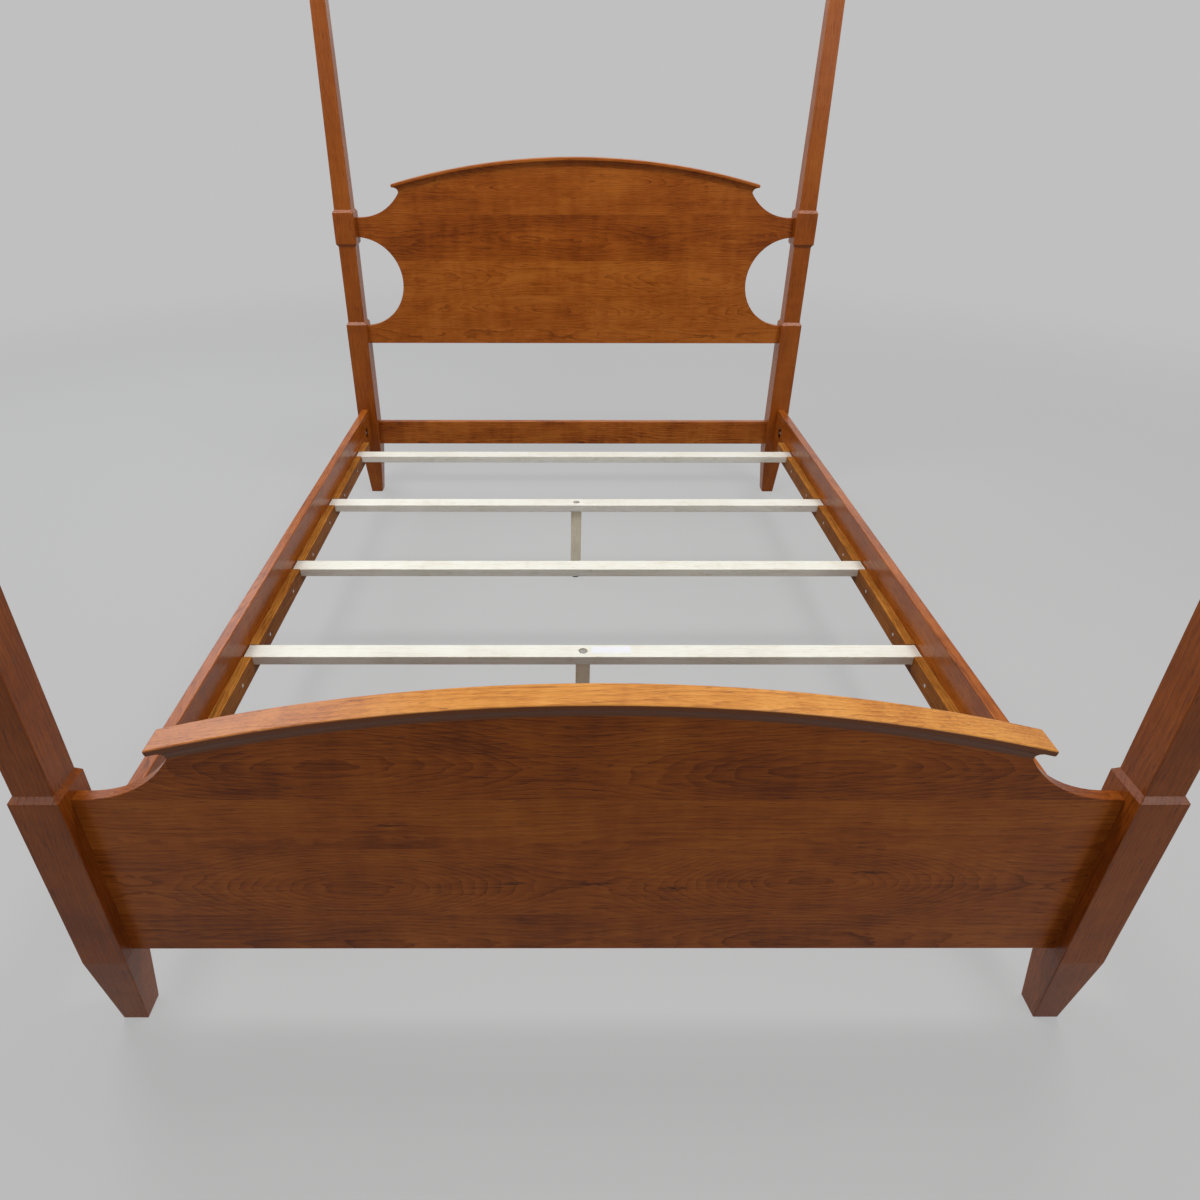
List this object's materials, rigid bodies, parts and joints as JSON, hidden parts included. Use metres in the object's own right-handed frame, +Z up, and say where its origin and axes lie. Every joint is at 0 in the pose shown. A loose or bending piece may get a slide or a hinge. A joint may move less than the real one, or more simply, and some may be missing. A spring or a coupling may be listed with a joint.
{
  "type": "four poster bed",
  "caption": "Wooden four poster bed with square tapered posts, arched headboard and footboard with scooped corners, plain side rails, and loose slats with centre legs.",
  "frame": {"origin": "on the floor, in the middle of the four posts", "axes": "+Z up, +Y from the foot of the bed towards the head, +X to the right seen from the foot"},
  "size_m": [1.619, 2.223, 1.984],
  "materials": {
    "cherry": "satin lacquer on red-brown stained cherry",
    "ledger": "satin lacquer on unstained golden wood",
    "slat": "planed, unfinished pale wood",
    "dowel": "planed, unfinished",
    "steel": "zinc plated",
    "brass": "turned",
    "pad": "matte"
  },
  "bodies": {
    "frame": {"bed_bolt_nuts": "steel", "bed_bolt_washers": "steel", "bed_bolts": "steel", "finial_dowels": "dowel", "foot_finial_left": "cherry", "foot_finial_right": "cherry", "foot_post_left": "cherry", "foot_post_right": "cherry", "foot_poster_left": "cherry", "foot_poster_right": "cherry", "footboard_cap_dowels": "dowel", "footboard_cap_rail": "cherry", "footboard_panel": "cherry", "head_finial_left": "cherry", "head_finial_right": "cherry", "head_post_left": "cherry", "head_post_right": "cherry", "head_poster_left": "cherry", "head_poster_right": "cherry", "headboard_cap_dowels": "dowel", "headboard_cap_rail": "cherry", "headboard_cross_rail": "cherry", "headboard_panel": "cherry", "ledger_left": "ledger", "ledger_right": "ledger", "ledger_screws_left": "steel", "ledger_screws_right": "steel", "poster_stud_inserts": "brass", "poster_studs": "steel", "rail_dowels": "dowel", "side_rail_left": "cherry", "side_rail_right": "cherry"},
    "slat_1": {"slat_1": "slat"},
    "slat_2": {"slat_2": "slat", "center_leg_2": "slat", "leg_bolt_2": "steel", "leg_washer_2": "steel", "leg_nut_2": "steel", "leg_insert_2": "brass"},
    "slat_3": {"slat_3": "slat"},
    "slat_4": {"slat_4": "slat", "center_leg_4": "slat", "leg_bolt_4": "steel", "leg_washer_4": "steel", "leg_nut_4": "steel", "leg_insert_4": "brass"},
    "slat_5": {"slat_5": "slat"},
    "leveler_2_pad": {"leveler_pad_2": "pad"},
    "leveler_2_stud": {"leveler_stud_2": "steel"},
    "leveler_4_pad": {"leveler_pad_4": "pad"},
    "leveler_4_stud": {"leveler_stud_4": "steel"}
  },
  "joints": [
    {"name": "slat_1_lift", "type": "slide", "parent": "frame", "child": "slat_1", "axis": [0, 0, 1], "range_m": [0, 0.15]},
    {"name": "slat_2_lift", "type": "slide", "parent": "frame", "child": "slat_2", "axis": [0, 0, 1], "range_m": [0, 0.15]},
    {"name": "slat_3_lift", "type": "slide", "parent": "frame", "child": "slat_3", "axis": [0, 0, 1], "range_m": [0, 0.15]},
    {"name": "slat_4_lift", "type": "slide", "parent": "frame", "child": "slat_4", "axis": [0, 0, 1], "range_m": [0, 0.15]},
    {"name": "slat_5_lift", "type": "slide", "parent": "frame", "child": "slat_5", "axis": [0, 0, 1], "range_m": [0, 0.15]},
    {"name": "leveler_2_height", "type": "slide", "parent": "slat_2", "child": "leveler_2_pad", "axis": [0, 0, 1], "range_m": [0, 0.012]},
    {"name": "leveler_2_turn", "type": "hinge", "parent": "leveler_2_pad", "child": "leveler_2_stud", "pos_m": [0, 0.396, 0.008], "axis": [0, 0, 1], "range_deg": [0, 3456]},
    {"name": "leveler_4_height", "type": "slide", "parent": "slat_4", "child": "leveler_4_pad", "axis": [0, 0, 1], "range_m": [0, 0.012]},
    {"name": "leveler_4_turn", "type": "hinge", "parent": "leveler_4_pad", "child": "leveler_4_stud", "pos_m": [0, -0.396, 0.008], "axis": [0, 0, 1], "range_deg": [0, 3456]}
  ],
  "couplings": [
    {"joint": "leveler_2_turn", "follows": "leveler_2_height", "rad_per_m": 5026.5},
    {"joint": "leveler_4_turn", "follows": "leveler_4_height", "rad_per_m": 5026.5}
  ]
}
